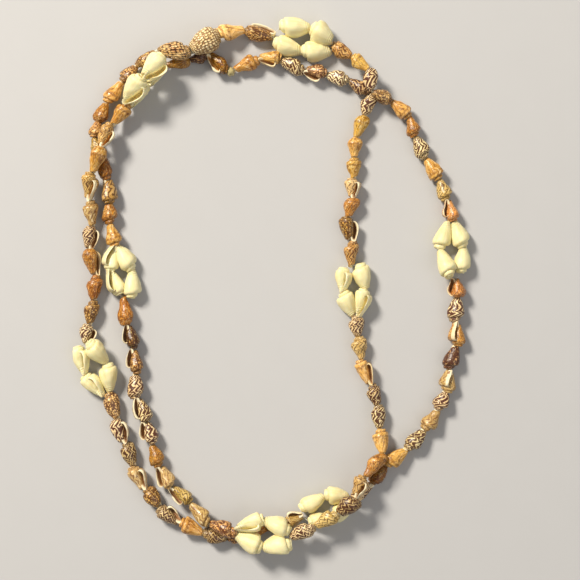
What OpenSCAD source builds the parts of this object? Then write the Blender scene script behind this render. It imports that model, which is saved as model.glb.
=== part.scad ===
// A long shell necklace lying in two rounds: brown shells strung end to end on two clear lines,
// with eight rosettes of four white shells. All sizes are in millimetres.

/* [Brown shells] */
// Gap between two neighbours on the thread
shell_gap = 0.26; // [0.22:0.02:0.4]
// Radius of the hole drilled through a brown shell
brown_bore_r = 0.92; // [0.9:0.01:0.96]
// How far a brown shell stands back from where the two lines part
fork_gap = 0.45; // [0.4:0.05:0.6]
// Radius of a brown shell's narrow end, as a share of its half width
brown_tip = 0.44; // [0.4:0.01:0.5]
// Radius of its cut spire end, as a share of its half width
brown_spire = 0.52; // [0.45:0.01:0.6]
// Depth of the mouth, as a share of the radius there
mouth_depth = 0.26; // [0.1:0.02:0.34]

/* [White shells] */
// Radius of the hole drilled through a white shell
white_bore_r = 0.6; // [0.5:0.05:0.7]
// Gap between the ends of two white shells on one line
white_gap = 1.1; // [1:0.05:1.2]
// How far the outer end of a white shell stands back from where its line turns
end_inset = 0.5; // [0.4:0.1:0.7]
// Radius of the narrow end
white_tip_r = 1.25; // [1.2:0.05:1.4]
// Radius of the spire end, as a share of the half width
white_spire = 0.46; // [0.4:0.02:0.5]
// Width of the slit mouth
slit_w = 1.0; // [0.6:0.1:1.4]

/* [Thread] */
// Radius of one nylon line
line_r = 0.24; // [0.2:0.01:0.25]
// Distance of each line from the middle of the shells' holes
line_apart = 0.35; // [0.34:0.01:0.36]
// Radius of the coiled line in the knot
knot_line_r = 0.45; // [0.4:0.05:0.5]
// Turns of the knot
knot_turns = 3; // [2:1:3]

/* [Hidden] */
brown_sides = 10;
thread_sides = 5;
knot_sides = 6;
knot_steps = 9;
// Room between the knot's coil and the lines, and between its turns
knot_clearance = 0.3;
coil_gap = 0.12;
// Height of a joint between two shells that lie on the surface
lie = 3.9;
// Height of a white shell's middle where it lies on the surface
low = 4.3;
up = [0, 0, 1];

// Runs of brown shells, in order along the loop. Columns: x, y and height of the joint where a
// shell starts, its width, 1 where its narrow end leads or -1 where its spire leads, and the turn
// of its mouth from straight up towards the left of the way along. The last row closes the run.
run_1 = [
    [-17.5, 103.5, lie, 7.2, 1, 200],
    [-6.5, 108, lie, 7.2, 1, -70],
    [4, 107.5, lie, 7.4, 1, 180],
    [15.5, 102.5, lie, 7.2, 1, -60],
    [26, 100.5, lie, 7.2, 1, 150],
    [36.5, 98, lie, 6.6, 1, 180],
    [47.5, 91.5, lie, 7.2, -1, 170],
    [44, 80.5, lie, 6.8, -1, 150],
    [40, 70, lie, 7.0, -1, 200],
    [39, 60.5, lie, 7.0, -1, 170],
    [39, 50.5, lie, 7.2, -1, 0],
    [39, 41, lie, 7.2, -1, 120],
    [36, 32, lie, 7.6, -1, 70],
    [38, 20.5, lie, 6.8, -1, 180],
    [37.5, 9, lie, 0, 0, 0],
];
run_2 = [
    [40, -16, lie, 7.4, -1, 180],
    [41, -25.5, lie, 7.6, -1, 150],
    [43, -36.5, lie, 7.2, -1, 30],
    [47.5, -48.5, lie, 6.8, -1, 200],
    [50.5, -58.5, lie, 6.8, -1, -90],
    [51.5, -70, 4.2, 7.6, -1, 180],
    [52.5, -81.5, 7.6, 7.2, -1, 160],
    [44, -92, 10.8, 7.2, -1, -40],
    [40, -102, 11.6, 8.0, -1, 180],
    [31, -109, 11.6, 7.4, -1, 80],
    [20, -115, 11.8, 7.4, -1, 180],
    [9, -120, 11, 0, 0, 0],
];
run_3 = [
    [-17.5, -118, 10.6, 7.4, -1, 180],
    [-30, -114, 7, 7.2, -1, 170],
    [-39.5, -105, 4.4, 7.2, -1, 50],
    [-49, -97.5, lie, 7.2, -1, 0],
    [-54, -87.5, lie, 7.4, -1, 190],
    [-57.5, -76.5, lie, 7.6, -1, 80],
    [-61, -66, lie, 7.8, -1, 0],
    [-65, -54.5, lie, 7.8, -1, 180],
    [-65.5, -43, lie, 7.2, -1, 60],
    [-67, -31, lie, 7.4, -1, 50],
    [-69.5, -19.5, lie, 7.4, -1, 180],
    [-71, -6.5, lie, 0, 0, 0],
];
run_4 = [
    [-75, 19, lie, 7.6, -1, 180],
    [-77.5, 29, lie, 7.2, -1, 150],
    [-78, 39, lie, 7.2, -1, 60],
    [-78.5, 50.5, lie, 7.0, -1, 180],
    [-83.5, 63.5, lie, 6.0, -1, 200],
    [-85, 70.5, lie, 6.8, -1, 180],
    [-83, 78, lie, 7.2, -1, 170],
    [-79, 87, lie, 7.4, -1, -90],
    [-71.5, 97, lie, 7.2, -1, 180],
    [-64.5, 104.5, lie, 5.6, -1, 180],
    [-54.5, 111, 8.4, 8.2, 1, 180],
    [-39.5, 111.5, 9.8, 11, 1, 180],
    [-26, 119.5, 6.6, 7.8, -1, 180],
    [-12.5, 121.5, lie, 7.4, -1, 60],
    [0.5, 119, lie, 0, 0, 0],
];
run_5 = [
    [29.5, 113.5, lie, 7.2, -1, 180],
    [38.5, 108.5, 5.4, 6.8, -1, 180],
    [46, 101.5, 9, 7.2, -1, 150],
    [48, 92, 10.4, 6.8, 1, 180],
    [57, 88, 5.2, 7.2, 1, 180],
    [66, 80.5, lie, 6.8, 1, 180],
    [69, 71, lie, 7.4, 1, 160],
    [74, 60.5, lie, 7.6, 1, 180],
    [80.5, 50.5, lie, 7.2, 1, 20],
    [84, 40.5, lie, 7.0, 1, -70],
    [86, 31, lie, 0, 0, 0],
];
run_6 = [
    [87.5, 2, 5, 7.2, 1, -70],
    [89, -6, lie, 7.8, 1, 180],
    [88, -18, lie, 7.4, 1, 0],
    [88.5, -29.5, lie, 7.6, 1, 180],
    [85, -41, lie, 7.4, 1, 30],
    [83.5, -51.5, lie, 7.2, 1, 180],
    [80, -60.5, lie, 7.8, 1, 170],
    [73.5, -70, lie, 7.4, 1, 70],
    [65, -79.5, lie, 7.6, 1, 180],
    [55, -87, lie, 7.2, 1, 180],
    [48, -95.5, lie, 6.4, 1, 60],
    [39, -102, lie, 0, 0, 0],
];
run_7 = [
    [14, -111, lie, 7.4, 1, -60],
    [6.5, -114, lie, 6.8, 1, 180],
    [-2, -117.5, lie, 6.8, 1, 180],
    [-11.5, -120, lie, 6.8, 1, 180],
    [-21, -122, lie, 7.2, 1, 180],
    [-33, -120, lie, 7.6, 1, 60],
    [-44, -114.5, lie, 7.8, 1, -50],
    [-54, -107, lie, 7.6, 1, 180],
    [-60.5, -98.5, lie, 7.6, 1, 0],
    [-66.5, -87.5, lie, 7.2, 1, 180],
    [-70.5, -76.5, lie, 7.6, 1, -50],
    [-74.5, -65, lie, 7.6, 1, 180],
    [-78.5, -53.5, lie, 0, 0, 0],
];
run_8 = [
    [-88.5, -28, 5.2, 7.2, 1, -60],
    [-88, -19.5, lie, 6.8, 1, 180],
    [-86, -8, lie, 7.2, 1, 180],
    [-85, 4, lie, 7.2, 1, -60],
    [-87.5, 16.5, lie, 7.2, 1, -50],
    [-86.5, 27.5, lie, 7.2, 1, 60],
    [-87.5, 40, 5, 7.4, 1, 0],
    [-86, 53, 8.8, 7.2, 1, 180],
    [-81.5, 65, 10.2, 7.2, 1, -50],
    [-76.5, 76, 7.4, 7.2, 1, 180],
    [-69.5, 85.5, 6.4, 0, 0, 0],
];
run_9 = [
    [-50.5, 105, 4.2, 6.0, 1, 180],
    [-40, 107.5, 3.4, 5.8, 1, 180],
    [-31, 110, 3.6, 7.2, 1, -90],
    [-22.5, 102.5, lie, 0, 0, 0],
];
runs = [run_1, run_2, run_3, run_4, run_5, run_6, run_7, run_8, run_9];
last_run = len(runs) - 1;

// Rosettes. Each has two sides, left and right of the way along, and each side has the places of
// its first end, its middle joint and its last end. Two shells run from place to place.
// The rows at the end of a rosette are the widths of its shells and the turns of their mouths.
rosette_1 = [
    [[4.5, 123.3, 5.8], [19, 122.6, 6.4], [28.5, 116.2, 7]],
    [[1.5, 115.5, low], [14.5, 111.5, 4.5], [28, 111.5, 4.5]],
    [8.6, 8.6, 8.4, 8.8], [180, 180, 180, 180],
];
rosette_2 = [
    [[-69.5, 87, 9.2], [-60.5, 97, 15.4], [-51.5, 107, 13.4]],
    [[-69, 86, 3.6], [-60, 96, 4.5], [-52.5, 105, low]],
    [9.4, 9.2, 8.4, 8.4], [-70, -70, -70, -70],
];
rosette_3 = [
    [[-74, -4.5, low], [-78.5, 7, low], [-76.5, 18, 4]],
    [[-67, -6, low], [-67, 7, low], [-74, 18, 4]],
    [8.0, 8.0, 7.6, 8.2], [60, 50, 180, 180],
];
rosette_4 = [
    [[-81, -53, 4], [-89.5, -43.5, low], [-92.5, -30.5, low]],
    [[-78, -51.5, 4], [-79, -38.2, 5.2], [-87, -28.6, 9.6]],
    [7.6, 7.6, 8.2, 8.2], [-20, 10, -70, 180],
];
rosette_5 = [
    [[8.5, -123.5, 10.8], [-5, -125.5, 10.8], [-17, -119.5, 10.6]],
    [[8, -117, 10.8], [-4, -112.5, 10.8], [-17, -116.5, 10.6]],
    [8.2, 8.4, 8.2, 8.4], [180, 180, 180, 40],
];
rosette_6 = [
    [[38.5, -106, low], [29, -111.5, low], [18.5, -114.5, low]],
    [[37, -102, low], [25.5, -101.5, low], [14.5, -108, low]],
    [8.0, 7.6, 8.4, 8.0], [60, 180, 180, 180],
];
rosette_7 = [
    [[42, 9, low], [45, -3, low], [42, -15.5, 4]],
    [[35, 7, low], [34, -4, low], [38.5, -15, 4]],
    [8.2, 8.2, 7.8, 8.2], [180, 60, 0, 180],
];
rosette_8 = [
    [[87.5, 30, 4], [92, 18, low], [91, 6, low]],
    [[84.5, 30, 4], [80.5, 17, low], [85, 4.5, 9.6]],
    [8.2, 7.8, 8.0, 8.2], [180, 180, 180, 180],
];
rosettes = [rosette_1, rosette_2, rosette_3, rosette_4, rosette_5, rosette_6, rosette_7, rosette_8];
// The rosette that follows each run
after_run = [7, 5, 3, 1, 8, 6, 4, 2];

// One section in each row: how far along from the narrow end, and its share of the half width
brown_sections = [
    [0, brown_tip],
    [0.3, 0.72],
    [0.6, 1],
    [0.8, 0.86],
    [1, brown_spire],
];
// How far the wall stands at each side round a section that the mouth crosses
mouth_wall = [for (k = [0 : brown_sides - 1]) k == 0 ? 1 - mouth_depth : k == brown_sides - 1 ? 1 : 0.94];
plain_wall = [for (k = [0 : brown_sides - 1]) 0.96];

function unit(v) = v / norm(v);
function mid(a, b) = (a + b) / 2;
function joint(row) = [row[0], row[1], row[2]];
function leftward(along) = unit(cross(up, along));
// Moves a point along a direction until it lies on a plane
function onto(p, along, at, normal) = p + along * ((at - p) * normal) / (along * normal);
// Every joint of the loop in order, and the place of each run's first joint in that list
joints = [for (run = runs) for (row = run) joint(row)];
function run_start(i) = i == 0 ? 0 : run_start(i - 1) + len(runs[i - 1]);
function joint_at(i) = joints[(i + len(joints)) % len(joints)];
// The plane between two neighbours cuts their bend in half
function bend(i) = unit(unit(joint_at(i + 1) - joint_at(i)) + unit(joint_at(i) - joint_at(i - 1)));

function ring(centre, along, radius, turn, wall) =
    let (left = leftward(along), top = cross(along, left))
    [for (k = [0 : len(wall) - 1]) let (a = turn + 360 * k / len(wall))
        centre + radius * wall[k] * (cos(a) * top + sin(a) * left)];

// The points of one brown shell: i is its first joint, back_a and back_b its distance from each joint
function brown_points(i, row, back_a, back_b) =
    let (a = joint_at(i), b = joint_at(i + 1), along = unit(b - a))
    let (na = bend(i), nb = bend(i + 1))
    let (cut_a = a + na * back_a, cut_b = b - nb * back_b)
    let (sections = row[4] > 0 ? brown_sections
        : [for (k = [len(brown_sections) - 1 : -1 : 0]) [1 - brown_sections[k][0], brown_sections[k][1]]])
    let (last = len(sections) - 1, bore = [for (k = [1 : brown_sides / 2]) 1])
    concat(
        [for (s = [0 : last]) each
            let (wall = s == 0 || s == last ? plain_wall : mouth_wall)
            let (centre = a + (b - a) * sections[s][0])
            let (points = ring(centre, along, row[3] / 2 * sections[s][1], row[5], wall))
            s == 0 ? [for (p = points) onto(p, along, cut_a, na)]
                : s == last ? [for (p = points) onto(p, along, cut_b, nb)] : points],
        [for (p = ring(a, along, brown_bore_r, row[5], bore)) onto(p, along, cut_a, na)],
        [for (p = ring(b, along, brown_bore_r, row[5], bore)) onto(p, along, cut_b, nb)]
    );

// Triangles of a drilled shell: the wall, the bore and a face round the bore at each end
function brown_faces(from) =
    let (n = brown_sides, h = brown_sides / 2, m = len(brown_sections))
    let (bore = from + n * m)
    concat(
        [for (s = [0 : m - 2], k = [0 : n - 1]) each
            let (p = from + s * n + k, q = from + s * n + (k + 1) % n)
            [[p, q, q + n], [p, q + n, p + n]]],
        [for (k = [0 : h - 1]) each let (p = bore + k, q = bore + (k + 1) % h) [[p, q + h, q], [p, p + h, q + h]]],
        [for (k = [0 : h - 1]) each
            let (o = from + 2 * k, o2 = from + (2 * k + 2) % n, p = bore + k, q = bore + (k + 1) % h)
            [[o, p, o + 1], [o + 1, p, q], [o + 1, q, o2]]],
        [for (k = [0 : h - 1]) each
            let (end = from + (m - 1) * n, o = end + 2 * k, o2 = end + (2 * k + 2) % n)
            let (p = bore + h + k, q = bore + h + (k + 1) % h)
            [[o, o + 1, p], [o + 1, q, p], [o + 1, o2, q]]]
    );

points_per_brown = brown_sides * len(brown_sections) + brown_sides;

// The brown shells of a range of runs
module brown_string(first, last) {
    shells = [for (i = [first : last], s = [0 : len(runs[i]) - 2]) [i, s]];
    polyhedron(
        points = [for (shell = shells) each
            let (run = runs[shell[0]], s = shell[1])
            let (back_a = s == 0 ? fork_gap : shell_gap / 2)
            let (back_b = s == len(run) - 2 ? fork_gap : shell_gap / 2)
            brown_points(run_start(shell[0]) + s, run[s], back_a, back_b)],
        faces = [for (k = [0 : len(shells) - 1]) each brown_faces(k * points_per_brown)]
    );
}

module brown_shells_a() {
    color("peru") brown_string(0, 3);
}

module brown_shells_b() {
    color("burlywood") brown_string(4, last_run);
}

// Half outline of a white shell from its narrow end: share of the length, share of the half width
function white_outline(length, half) = [
    [white_bore_r, 0],
    [white_tip_r, 0],
    [0.52 * half, 0.18 * length],
    [0.84 * half, 0.5 * length],
    [half, 0.68 * length],
    [0.95 * half, 0.76 * length],
    [0.74 * half, 0.79 * length],
    [0.7 * half, 0.89 * length],
    [0.56 * half, 0.91 * length],
    [white_spire * half, length],
    [white_bore_r, length],
];

// A drilled white shell along +Z with its slit mouth towards +X
module white_shell(length, width) {
    slit_from = 0.08;
    slit_to = 0.66;
    slit_floor = 0.36;
    difference() {
        rotate_extrude($fn = 36) polygon(white_outline(length, width / 2));
        translate([slit_floor * width / 2 + white_bore_r, -slit_w / 2, slit_from * length])
            cube([width, slit_w, (slit_to - slit_from) * length]);
    }
}

// Place, way and mouth of each white shell: 1 and 2 on the left line, 3 and 4 on the right one
function white_from(r, s) = rosettes[r - 1][s < 3 ? 0 : 1][(s - 1) % 2];
function white_to(r, s) = rosettes[r - 1][s < 3 ? 0 : 1][(s - 1) % 2 + 1];
// The rosettes whose shells lead with their spires
spire_leads = [1, 3, 5, 7];

module rosette_shell(r, s) {
    reversed = len(search(r, spire_leads)) > 0;
    a = white_from(r, s);
    b = white_to(r, s);
    start = reversed ? b : a;
    along = reversed ? unit(a - b) : unit(b - a);
    // Both shells of a line stand back from its middle joint, and each from its outer end
    at_start = (s % 2 == 1) == reversed ? white_gap / 2 : end_inset;
    at_end = white_gap / 2 + end_inset - at_start;
    mouth = rosettes[r - 1][3][s - 1];
    // A mouth at zero faces up, and turns to the left of the way along the loop
    roll = reversed ? 180 + mouth : 180 - mouth;
    color("ivory") translate(start + along * at_start)
        rotate([0, acos(along[2]), atan2(along[1], along[0])])
        rotate(roll)
        white_shell(norm(b - a) - at_start - at_end, rosettes[r - 1][2][s - 1]);
}

// Points that one line follows: side is 1 on the left and -1 on the right
function beside(i, side) =
    let (way = bend(i), half_turn = way * unit(joint_at(i + 1) - joint_at(i)))
    joint_at(i) + side * line_apart / half_turn * leftward(way);
function line_way(side) = [for (i = [0 : last_run]) each concat(
    [for (s = [0 : len(runs[i]) - 1]) beside(run_start(i) + s, side)],
    i == last_run ? [] : rosettes[after_run[i] - 1][side > 0 ? 0 : 1]
)];
function line_points(way) = [for (k = [0 : len(way) - 1]) each
    let (a = way[(k + len(way) - 1) % len(way)], b = way[k], c = way[(k + 1) % len(way)])
    let (into = unit(b - a), normal = unit(unit(b - a) + unit(c - b)))
    [for (p = ring(b, into, line_r, 0, [for (j = [1 : thread_sides]) 1])) onto(p, into, b, normal)]];

module nylon_line(side) {
    way = line_way(side);
    n = thread_sides;
    total = len(way) * n;
    color("gainsboro") polyhedron(
        points = line_points(way),
        faces = [for (k = [0 : len(way) - 1], j = [0 : n - 1]) each
            let (p = k * n + j, q = k * n + (j + 1) % n)
            [[p, q, (q + n) % total], [p, (q + n) % total, (p + n) % total]]]
    );
}

module thread_left() {
    nylon_line(1);
}

module thread_right() {
    nylon_line(-1);
}

// The knot is a short coil of line round both lines
module knot() {
    a = joints[len(joints) - 1];
    b = joints[0];
    along = unit(b - a);
    left = leftward(along);
    top = cross(along, left);
    coil_r = line_apart + line_r + knot_clearance + knot_line_r;
    pitch = 2 * knot_line_r + coil_gap;
    steps = knot_turns * knot_steps;
    n = knot_sides;
    points = [for (k = [0 : steps]) each
        let (a_k = 360 * k / knot_steps, out = cos(a_k) * top + sin(a_k) * left)
        let (centre = mid(a, b) + along * pitch * (k / knot_steps - knot_turns / 2) + coil_r * out)
        [for (j = [0 : n - 1]) let (t = -360 * j / n) centre + knot_line_r * (cos(t) * out + sin(t) * along)]];
    color("whitesmoke") polyhedron(
        points = points,
        faces = concat(
            [[for (j = [n - 1 : -1 : 0]) j]],
            [for (k = [0 : steps - 1], j = [0 : n - 1]) each
                let (p = k * n + j, q = k * n + (j + 1) % n)
                [[p, q, q + n], [p, q + n, p + n]]],
            [[for (j = [0 : n - 1]) steps * n + j]]
        )
    );
}

function shell_name(r, s) = str("rosette_", r, "_shell_", s);

for (r = [1 : len(rosettes)], s = [1 : 4])
    rosette_shell(r, s);
brown_shells_a();
brown_shells_b();
thread_left();
thread_right();
knot();
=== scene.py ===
from math import cos, radians, sin

import bmesh
import bpy
from mathutils import Matrix, Vector


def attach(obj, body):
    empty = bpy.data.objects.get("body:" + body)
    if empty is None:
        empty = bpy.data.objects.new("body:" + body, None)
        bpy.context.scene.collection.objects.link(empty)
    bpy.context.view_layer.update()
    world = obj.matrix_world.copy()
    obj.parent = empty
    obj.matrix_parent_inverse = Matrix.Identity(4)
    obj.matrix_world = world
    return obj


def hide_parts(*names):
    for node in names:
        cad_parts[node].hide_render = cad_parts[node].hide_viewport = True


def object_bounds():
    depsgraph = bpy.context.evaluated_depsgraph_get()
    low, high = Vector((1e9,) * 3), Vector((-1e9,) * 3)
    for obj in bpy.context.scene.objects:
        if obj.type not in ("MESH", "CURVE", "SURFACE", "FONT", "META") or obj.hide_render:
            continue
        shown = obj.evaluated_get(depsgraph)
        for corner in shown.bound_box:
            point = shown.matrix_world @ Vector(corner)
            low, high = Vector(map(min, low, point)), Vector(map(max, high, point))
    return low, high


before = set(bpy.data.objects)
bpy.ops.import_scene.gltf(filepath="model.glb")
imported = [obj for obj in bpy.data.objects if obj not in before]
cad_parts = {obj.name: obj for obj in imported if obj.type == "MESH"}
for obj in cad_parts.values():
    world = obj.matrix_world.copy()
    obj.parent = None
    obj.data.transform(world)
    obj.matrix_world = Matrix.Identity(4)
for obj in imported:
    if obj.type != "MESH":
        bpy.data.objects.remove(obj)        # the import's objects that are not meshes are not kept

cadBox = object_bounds()
mm = 0.001
up = Vector((0, 0, 1))

# The loop as it lies, through the same joints as the part's source, in millimetres
lie, low = 3.9, 4.3      # height of a brown and of a white shell's joint on the floor
# Columns: x, y and height of the joint where a shell starts, width, 1 if its narrow end leads,
# turn of its mouth from straight up to the left of the way, finish, how light it is, and its
# shape where the finish's own shapes don't fit
runs = [
    [
        (-17.5, 103.5, lie, 7.2, 1, 232, "golden", -0.1, "pear"),
        (-6.5, 108, lie, 7.2, 1, 10, "golden", 0.2),
        (4, 107.5, lie, 7.4, 1, 232, "boldZigzag", 0.0),
        (15.5, 102.5, lie, 7.2, 1, -10, "brownNet", 0.6),
        (26, 100.5, lie, 7.2, 1, 232, "boldZigzag", 0.5),
        (36.5, 98, lie, 6.6, 1, 232, "fineZigzag", -0.5),
        (47.5, 91.5, lie, 7.2, -1, 128, "boldZigzag", 0.2),
        (44, 80.5, lie, 6.8, -1, 128, "golden", -0.1, "fig"),
        (40, 70, lie, 7.0, -1, 128, "golden", 0.2, "fig"),
        (39, 60.5, lie, 7.0, -1, 128, "golden", 0.0, "pear"),
        (39, 50.5, lie, 7.2, -1, -30, "creamZigzag", 0.5, "cone"),
        (39, 41, lie, 7.2, -1, 120, "orangeBrown", 0.4, "fig"),
        (36, 32, lie, 7.6, -1, 10, "brownNet", -0.3, "round"),
        (38, 20.5, lie, 6.8, -1, 128, "orangeZigzag", 0.0),
        (37.5, 9, lie),
    ],
    [
        (40, -16, lie, 7.4, -1, 128, "fineZigzag", 0.2),
        (41, -25.5, lie, 7.6, -1, 128, "creamZigzag", 0.2),
        (43, -36.5, lie, 7.2, -1, -15, "golden", 0.4),
        (47.5, -48.5, lie, 6.8, -1, 128, "boldZigzag", -0.3),
        (50.5, -58.5, lie, 6.8, -1, 128, "boldZigzag", 0.1),
        (51.5, -70, 4.2, 7.6, -1, 128, "golden", 0.4, "cone"),
        (52.5, -81.5, 7.6, 7.2, -1, 128, "orangeBrown", 0.2),
        (44, -92, 10.8, 7.2, -1, -40, "creamZigzag", 0.0),
        (40, -102, 11.6, 8.8, -1, 128, "fineZigzag", -0.6, "round"),
        (31, -109, 11.6, 7.4, -1, 128, "creamZigzag", 0.2),
        (20, -115, 11.8, 7.4, -1, 128, "fineZigzag", 0.3),
        (9, -120, 11),
    ],
    [
        (-17.5, -118, 10.6, 7.4, -1, 128, "brownNet", 0.2),
        (-30, -114, 7, 7.2, -1, 128, "cream", 0.2),
        (-39.5, -105, 4.4, 7.2, -1, -10, "creamZigzag", -0.2),
        (-49, -97.5, lie, 7.6, -1, 12, "cream", 0.5, "cone"),
        (-54, -87.5, lie, 7.4, -1, 128, "orangeBrown", 0.1),
        (-57.5, -76.5, lie, 7.6, -1, 10, "boldZigzag", 0.2),
        (-61, -66, lie, 7.8, -1, -25, "boldZigzag", -0.2),
        (-65, -54.5, lie, 7.8, -1, 128, "fineZigzag", 0.1),
        (-65.5, -43, lie, 7.2, -1, -5, "brownNet", -0.1),
        (-67, -31, lie, 7.4, -1, -15, "darkNet", -0.2),
        (-69.5, -19.5, lie, 7.4, -1, 128, "orangeBrown", 0.0),
        (-71, -6.5, lie),
    ],
    [
        (-75, 19, lie, 7.6, -1, 128, "golden", 0.0),
        (-77.5, 29, lie, 7.2, -1, 128, "orangeBrown", 0.0),
        (-78, 39, lie, 7.2, -1, 60, "creamZigzag", -0.3),
        (-78.5, 50.5, lie, 7.0, -1, 128, "orangeBrown", -0.3),
        (-83.5, 63.5, lie, 6.0, -1, 128, "creamZigzag", -0.4),
        (-85, 70.5, lie, 6.8, -1, 128, "orangeZigzag", 0.1),
        (-83, 78, lie, 7.2, -1, 128, "orangeBrown", -0.1),
        (-79, 87, lie, 7.4, -1, 128, "golden", 0.1, "pear"),
        (-71.5, 97, lie, 7.2, -1, 128, "brownNet", 0.2),
        (-64.5, 104.5, lie, 5.6, -1, 128, "brownNet", 0.2),
        (-54.5, 111, 8.4, 8.6, 1, 232, "brownGranular", 0.4),
        (-39.5, 111.5, 9.8, 11.6, 1, 232, "granular", 0.6),
        (-26, 119.5, 6.6, 7.8, -1, 128, "golden", 0.7),
        (-12.5, 121.5, lie, 7.4, -1, 30, "brownNet", 0.1),
        (0.5, 119, lie),
    ],
    [
        (29.5, 113.5, lie, 7.2, -1, 128, "orangeZigzag", 0.1),
        (38.5, 108.5, 5.4, 6.8, -1, 128, "golden", 0.2),
        (46, 101.5, 9, 7.4, -1, 128, "boldZigzag", 0.1, "round"),
        (48, 92, 10.4, 6.8, 1, 200, "brownNet", 0.4, "round"),
        (57, 88, 5.2, 7.2, 1, 232, "golden", 0.2, "cone"),
        (66, 80.5, lie, 6.8, 1, 232, "orangeBrown", 0.1),
        (69, 71, lie, 7.4, 1, 232, "boldZigzag", 0.1),
        (74, 60.5, lie, 7.6, 1, 232, "golden", 0.1),
        (80.5, 50.5, lie, 7.2, 1, 232, "creamZigzag", 0.0),
        (84, 40.5, lie, 7.0, 1, 15, "orangeBrown", 0.8),
        (86, 31, lie),
    ],
    [
        (87.5, 2, 5, 7.6, 1, -10, "orangeBrown", 0.5),
        (89, -6, lie, 7.8, 1, 232, "boldZigzag", 0.1),
        (88, -18, lie, 7.4, 1, 48, "orangeBrown", 0.4),
        (88.5, -29.5, lie, 7.6, 1, 232, "darkNet", 0.3),
        (85, -41, lie, 7.4, 1, 66, "cream", 0.3),
        (83.5, -51.5, lie, 7.2, 1, 232, "boldZigzag", 0.0),
        (80, -60.5, lie, 7.8, 1, 232, "cream", 0.1),
        (73.5, -70, lie, 7.4, 1, 232, "boldZigzag", -0.1),
        (65, -79.5, lie, 7.6, 1, 232, "golden", 0.0),
        (55, -87, lie, 7.2, 1, 232, "orangeBrown", -1.0),
        (48, -95.5, lie, 6.4, 1, 60, "boldZigzag", -0.2),
        (39, -102, lie),
    ],
    [
        (14, -111, lie, 7.4, 1, 15, "cream", 0.1),
        (6.5, -114, lie, 6.8, 1, 232, "brownNet", 0.0),
        (-2, -117.5, lie, 6.8, 1, 232, "orangeBrown", 0.0),
        (-11.5, -120, lie, 6.8, 1, 232, "brownNet", 0.0),
        (-21, -122, lie, 7.6, 1, 232, "fineZigzag", -0.4),
        (-33, -120, lie, 7.6, 1, 232, "golden", 0.1, "cone"),
        (-44, -114.5, lie, 7.8, 1, 10, "fineZigzag", -0.1),
        (-54, -107, lie, 7.6, 1, 232, "brownNet", 0.1),
        (-60.5, -98.5, lie, 7.6, 1, 25, "cream", 0.5),
        (-66.5, -87.5, lie, 7.2, 1, 232, "fineZigzag", -0.3),
        (-70.5, -76.5, lie, 7.6, 1, 15, "boldZigzag", 0.2),
        (-74.5, -65, lie, 7.6, 1, 232, "brownNet", 0.7),
        (-78.5, -53.5, lie),
    ],
    [
        (-88.5, -28, 5.2, 7.2, 1, -12, "boldZigzag", 0.3),
        (-88, -19.5, lie, 6.8, 1, 232, "brownNet", 0.1),
        (-86, -8, lie, 7.2, 1, 232, "orangeBrown", 0.0),
        (-85, 4, lie, 7.2, 1, -42, "orangeBrown", 0.1),
        (-87.5, 16.5, lie, 7.2, 1, 0, "fineZigzag", 0.1),
        (-86.5, 27.5, lie, 7.2, 1, 232, "cream", 0.2, "pear"),
        (-87.5, 40, 5, 7.4, 1, 34, "orangeZigzag", 0.3, "pear"),
        (-86, 53, 8.8, 7.4, 1, 232, "golden", -0.1, "fig"),
        (-81.5, 65, 10.2, 7.2, 1, 15, "orangeZigzag", 0.2),
        (-76.5, 76, 7.4, 7.2, 1, 232, "golden", -0.1),
        (-69.5, 85.5, 6.4),
    ],
    [
        (-50.5, 105, 4.2, 6.0, 1, 232, "orangeBrown", 0.0),
        (-40, 107.5, 3.4, 5.8, 1, 232, "darkNet", 0.0),
        # this shell's low tone is partly its own darker colour and partly painted shade
        (-31, 110, 3.6, 7.0, 1, 12, "orangeZigzag", -0.9, "oval"),
        (-22.5, 102.5, lie),
    ],
]
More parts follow.
